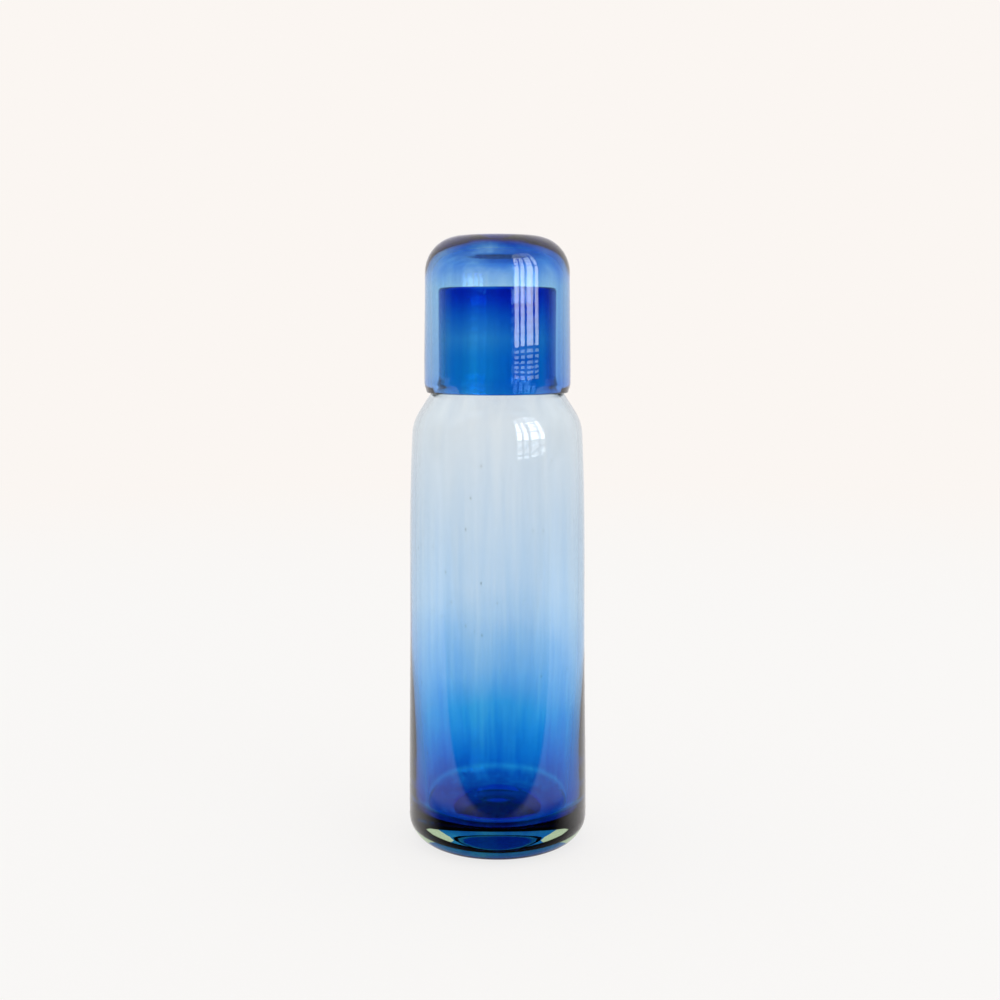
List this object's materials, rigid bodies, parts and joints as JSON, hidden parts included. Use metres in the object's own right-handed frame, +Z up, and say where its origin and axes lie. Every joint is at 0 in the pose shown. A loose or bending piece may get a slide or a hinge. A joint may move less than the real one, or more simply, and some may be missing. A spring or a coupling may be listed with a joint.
{
  "type": "bedside carafe with tumbler lid",
  "caption": "Tall round glass water carafe with a narrower neck, and a glass tumbler that sits upside down over the neck as its lid.",
  "frame": {"origin": "centre of the carafe's standing ring, on the surface it stands on", "axes": "+Z up along the common axis of the carafe and the tumbler; X and Y are free, because both pieces are round"},
  "size_m": [0.0778, 0.0778, 0.2623],
  "materials": {
    "carafe_glass": "hand-blown clear glass cased with cobalt blue inside: nearly clear at the shoulder, deepening to the foot, and deep blue in the neck; polished",
    "tumbler_glass": "hand-blown clear glass with a light blue tint that deepens at the closed end; fire-polished lip, polished"
  },
  "bodies": {
    "carafe": {"carafe": "carafe_glass"},
    "tumbler": {"tumbler": "tumbler_glass"}
  },
  "joints": [
    {"name": "tumbler_lift", "type": "slide", "parent": "carafe", "child": "tumbler", "axis": [0, 0, 1], "range_m": [0, 0.1]}
  ]
}
